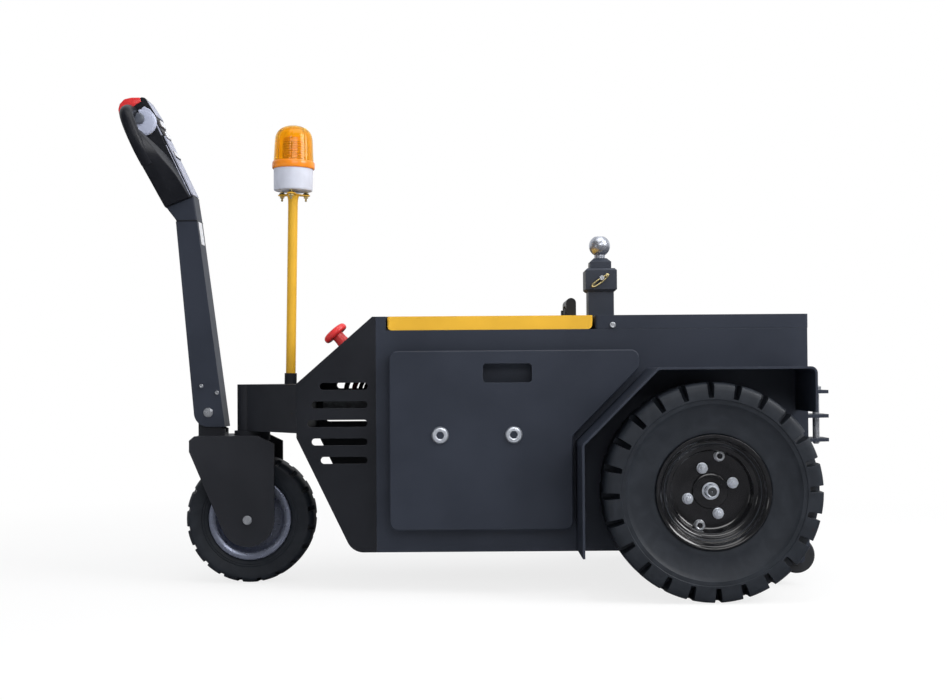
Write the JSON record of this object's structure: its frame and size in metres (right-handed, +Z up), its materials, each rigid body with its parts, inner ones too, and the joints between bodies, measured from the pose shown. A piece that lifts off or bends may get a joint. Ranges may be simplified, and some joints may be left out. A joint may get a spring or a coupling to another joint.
{
  "type": "electric tow tractor, pedestrian controlled",
  "caption": "Walk-behind electric tow tractor with a tiller, steered front wheel, driven rear wheels, hinged battery lid, beacon, tow ball mast and rear pin coupling.",
  "frame": {"origin": "on the floor, under the middle of the overall length and width", "axes": "+X towards the hitch end, the tiller is at -X; +Y to the right side, facing the tiller end; +Z up"},
  "size_m": [1.6712, 0.75, 1.1443],
  "materials": {
    "tyre": "moulded solid rubber",
    "roller": "moulded",
    "gloss_black": "gloss",
    "zinc": "zinc plated",
    "chrome": "polished",
    "rim_silver": "silver paint",
    "charcoal": "fine textured powder coat",
    "black_plastic": "grained",
    "red_plastic": "satin",
    "grey_plastic": "satin",
    "yellow": "semi-gloss powder coat",
    "battery": "moulded cells in a painted tank",
    "cable": "insulated leads, one of them red",
    "aluminium": "black anodised",
    "cast": "painted casting",
    "beacon_grey": "moulded",
    "amber": "clear moulded lens"
  },
  "bodies": {
    "chassis": {"neck_frame": "charcoal", "front_cheek_left": "charcoal", "front_cheek_right": "charcoal", "nose_panel": "charcoal", "side_plate_left": "charcoal", "side_plate_right": "charcoal", "floor_pan": "charcoal", "rear_cover": "charcoal", "rear_wall": "charcoal", "battery_pack": "battery", "controller_box": "aluminium", "power_cables": "cable", "drive_unit": "cast", "fender_left": "charcoal", "fender_right": "charcoal", "ballast_left": "charcoal", "ballast_right": "charcoal", "mast_tube": "charcoal", "ball_bar": "charcoal", "tow_ball": "chrome", "mast_pin": "zinc", "hitch_bracket": "charcoal", "roller_brackets": "charcoal", "emergency_stop": "red_plastic", "beacon_pole": "yellow", "beacon_bracket": "zinc", "beacon_base": "beacon_grey", "beacon_lens": "amber"},
    "lid": {"lid": "yellow", "lid_handle": "black_plastic"},
    "steering": {"fork": "charcoal", "steering_pins": "zinc"},
    "front_wheel": {"front_tyre": "tyre", "front_rim": "rim_silver"},
    "tiller": {"tiller_column": "charcoal", "tiller_head": "black_plastic", "reverse_button": "red_plastic", "throttles": "grey_plastic"},
    "rear_wheel_left": {"rear_tyre_left": "tyre", "rear_rim_left": "gloss_black", "rear_hub_left": "zinc"},
    "rear_wheel_right": {"rear_tyre_right": "tyre", "rear_rim_right": "gloss_black", "rear_hub_right": "zinc"},
    "tow_pin": {"hitch_pin": "zinc"},
    "roller_left": {"roller_left": "roller"},
    "roller_right": {"roller_right": "roller"}
  },
  "joints": [
    {"name": "rear_left_spin", "type": "hinge", "parent": "chassis", "child": "rear_wheel_left", "pos_m": [0.503, -0.3125, 0.2325], "axis": [0, 1, 0], "continuous": true},
    {"name": "rear_right_spin", "type": "hinge", "parent": "chassis", "child": "rear_wheel_right", "pos_m": [0.503, 0.3125, 0.2325], "axis": [0, 1, 0], "continuous": true},
    {"name": "steer", "type": "hinge", "parent": "chassis", "child": "steering", "pos_m": [-0.527, 0, 0.345], "axis": [0, 0, 1], "range_deg": [-70, 70]},
    {"name": "front_spin", "type": "hinge", "parent": "steering", "child": "front_wheel", "pos_m": [-0.527, 0, 0.15], "axis": [0, 1, 0], "continuous": true},
    {"name": "tiller_tilt", "type": "hinge", "parent": "steering", "child": "tiller", "pos_m": [-0.6253, 0, 0.399], "axis": [0, -1, 0], "range_deg": [0, 75], "stiffness_Nm_per_rad": 45, "springref_deg": -34.38},
    {"name": "lid_open", "type": "hinge", "parent": "chassis", "child": "lid", "pos_m": [-0.198, 0, 0.613], "axis": [0, -1, 0], "range_deg": [0, 85]},
    {"name": "tow_pin_lift", "type": "slide", "parent": "chassis", "child": "tow_pin", "axis": [0, 0, 1], "range_m": [0, 0.145]},
    {"name": "roller_left_spin", "type": "hinge", "parent": "chassis", "child": "roller_left", "pos_m": [0.731, -0.12, 0.069], "axis": [0, 1, 0], "continuous": true},
    {"name": "roller_right_spin", "type": "hinge", "parent": "chassis", "child": "roller_right", "pos_m": [0.731, 0.12, 0.069], "axis": [0, 1, 0], "continuous": true}
  ]
}
